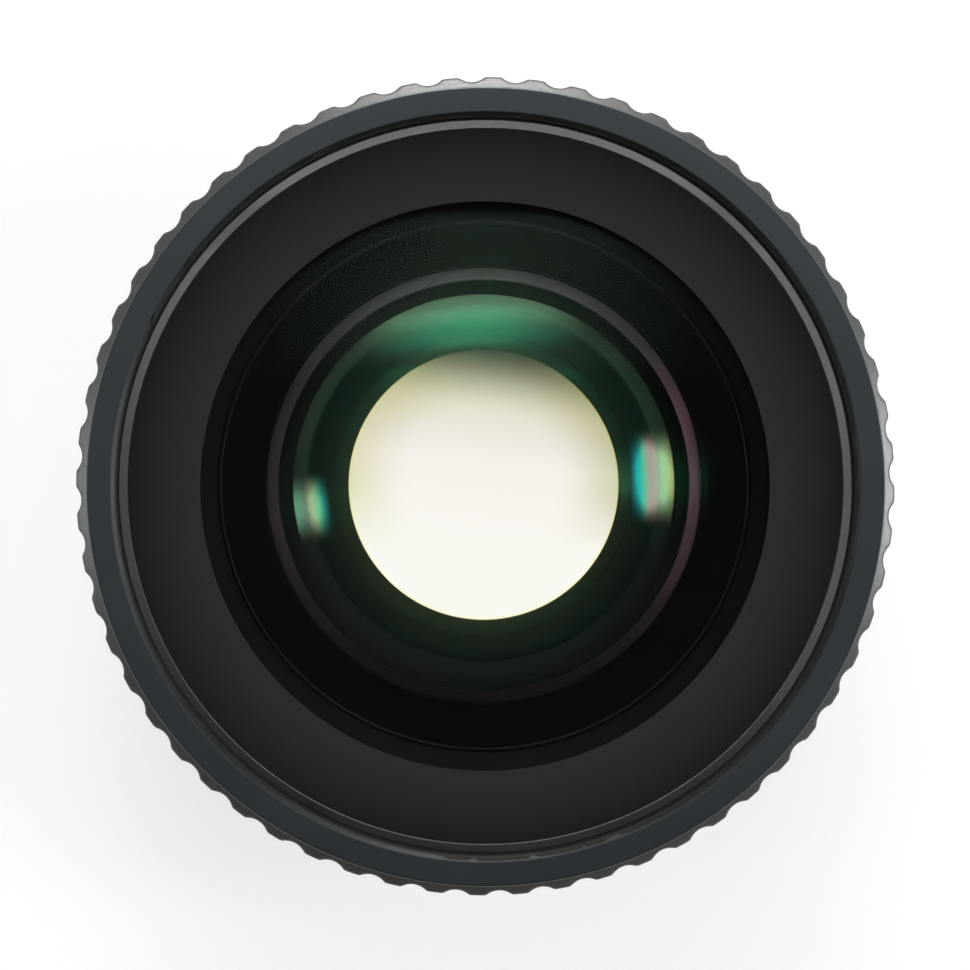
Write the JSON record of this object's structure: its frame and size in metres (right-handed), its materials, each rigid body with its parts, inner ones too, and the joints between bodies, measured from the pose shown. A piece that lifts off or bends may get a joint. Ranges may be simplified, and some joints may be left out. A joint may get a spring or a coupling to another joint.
{
  "type": "wide-angle conversion lens",
  "caption": "Screw-on wide-angle conversion lens: a large coated front glass in a black ribbed barrel, with a filter thread in front and a free-turning threaded collar behind.",
  "frame": {"origin": "on the optical axis, in the plane of the rear thread's end, on which the lens stands", "axes": "+Z along the optical axis from the camera to the subject; +X to the right and +Y up in the picture, which looks along -Z"},
  "size_m": [0.0794, 0.0794, 0.0434],
  "materials": {
    "black_anodised": "satin black anodised",
    "matt_black_paint": "matt black anti-reflection paint on aluminium",
    "blackened_steel": "blackened steel",
    "black_rubber": "fine-grained moulded rubber",
    "coated_glass": "polished, green anti-reflection coating",
    "brass_shim": "rolled",
    "black_polymer": "slippery black polymer"
  },
  "bodies": {
    "barrel": {"main_barrel": "black_anodised", "front_bezel": "black_anodised", "bezel_grub_screws": "blackened_steel", "front_retaining_ring": "black_anodised", "front_element": "coated_glass", "front_gasket": "black_rubber", "light_baffle": "matt_black_paint", "rear_lens_cell": "matt_black_paint", "cell_shim": "brass_shim", "middle_retaining_ring": "matt_black_paint", "middle_element": "coated_glass", "element_spacer": "matt_black_paint", "crown_element": "coated_glass", "flint_element": "coated_glass", "rear_retaining_ring": "matt_black_paint", "front_slip_washer": "black_polymer"},
    "turning_collar": {"mount_collar": "black_anodised", "turning_ring": "black_anodised", "turning_ring_grub_screws": "blackened_steel", "grip_sleeve": "black_rubber", "thrust_washer": "black_polymer"}
  },
  "joints": [
    {"name": "collar_turn", "type": "hinge", "parent": "barrel", "child": "turning_collar", "pos_m": [0, 0, 0.02], "axis": [0, 0, 1], "continuous": true}
  ]
}
